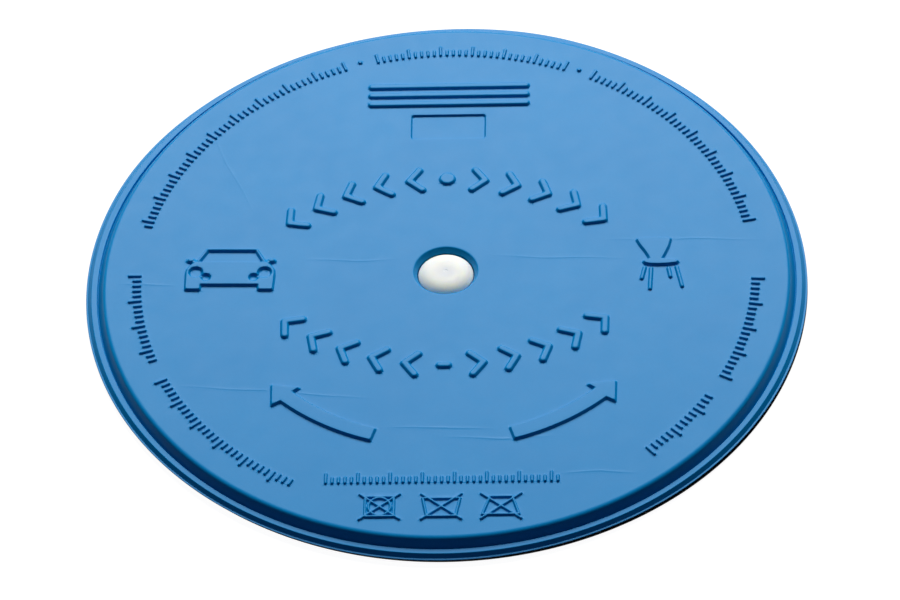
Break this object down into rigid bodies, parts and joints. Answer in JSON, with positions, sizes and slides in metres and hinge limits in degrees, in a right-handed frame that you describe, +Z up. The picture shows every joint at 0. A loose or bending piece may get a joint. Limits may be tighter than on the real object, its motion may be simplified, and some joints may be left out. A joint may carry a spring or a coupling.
{
  "type": "swivel seat cushion",
  "caption": "Thin round swivel cushion for a car seat or chair: a moulded cushion disc with raised figures turns about a central pivot on a low base disc with an anti-slip mat.",
  "frame": {"origin": "on the floor, under the swivel axis", "axes": "+Z up along the swivel axis, +Y to the back of the seat, where the sunk label panel is, and +X to the side with the chair figure"},
  "size_m": [0.38, 0.38, 0.0107],
  "materials": {
    "soft_blue": "matte soft-touch moulded skin with faint wrinkles",
    "foam": "closed-cell foam",
    "glide_plastic": "smooth, slippery sheet",
    "white_plastic": "satin moulded plastic",
    "black_rubber": "matte, with a fine anti-slip texture"
  },
  "bodies": {
    "base": {"anti_slip_mat": "black_rubber", "lower_glide_sheet": "glide_plastic", "pivot_button": "white_plastic", "pivot_socket": "white_plastic"},
    "seat": {"seat_cover": "soft_blue", "seat_foam": "foam", "upper_glide_sheet": "glide_plastic", "hub_bush": "white_plastic", "head_washer": "white_plastic"}
  },
  "joints": [
    {"name": "swivel", "type": "hinge", "parent": "base", "child": "seat", "pos_m": [0, 0, 0.0019], "axis": [0, 0, 1], "continuous": true}
  ]
}
